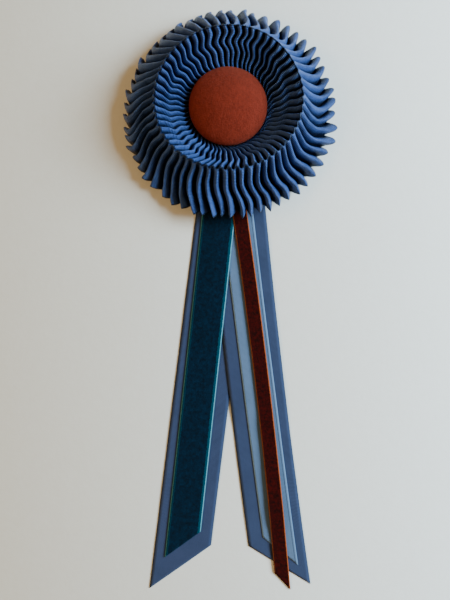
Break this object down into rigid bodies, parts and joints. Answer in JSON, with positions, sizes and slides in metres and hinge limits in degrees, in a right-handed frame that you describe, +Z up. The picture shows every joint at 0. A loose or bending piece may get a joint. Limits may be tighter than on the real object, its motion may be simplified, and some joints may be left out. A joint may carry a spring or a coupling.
{
  "type": "ribbon rosette",
  "caption": "Pleated ribbon rosette with a domed felt button, a funnel and an outer fall of pleats, a backing disc with a bar pin, and long slanted ribbon tails, lying face up.",
  "frame": {"origin": "on the floor under the middle of the button, at the underside of the pin's needle", "axes": "+Z up out of the rosette's face, the tails run towards -Y, +X to the right as seen from the front"},
  "size_m": [0.1483, 0.4072, 0.0315],
  "materials": {
    "rust_felt": "matte felt",
    "blue_ribbon": "soft sheen, pleated",
    "blue_tail": "ribbed weave, matte",
    "pale_tail": "ribbed weave, matte",
    "teal_velvet": "velvet with woven edges",
    "rust_velvet": "velvet with woven edges",
    "backing": "matte",
    "pin_steel": "satin"
  },
  "bodies": {
    "root": {"centre_button": "rust_felt", "inner_pleats": "blue_ribbon", "outer_pleats": "blue_ribbon", "backing_disc": "backing", "pin_bar": "pin_steel", "tail_blue_left": "blue_tail", "tail_blue_right": "blue_tail", "tail_pale_blue": "pale_tail", "tail_teal_velvet": "teal_velvet", "tail_rust_velvet": "rust_velvet"}
  },
  "joints": []
}
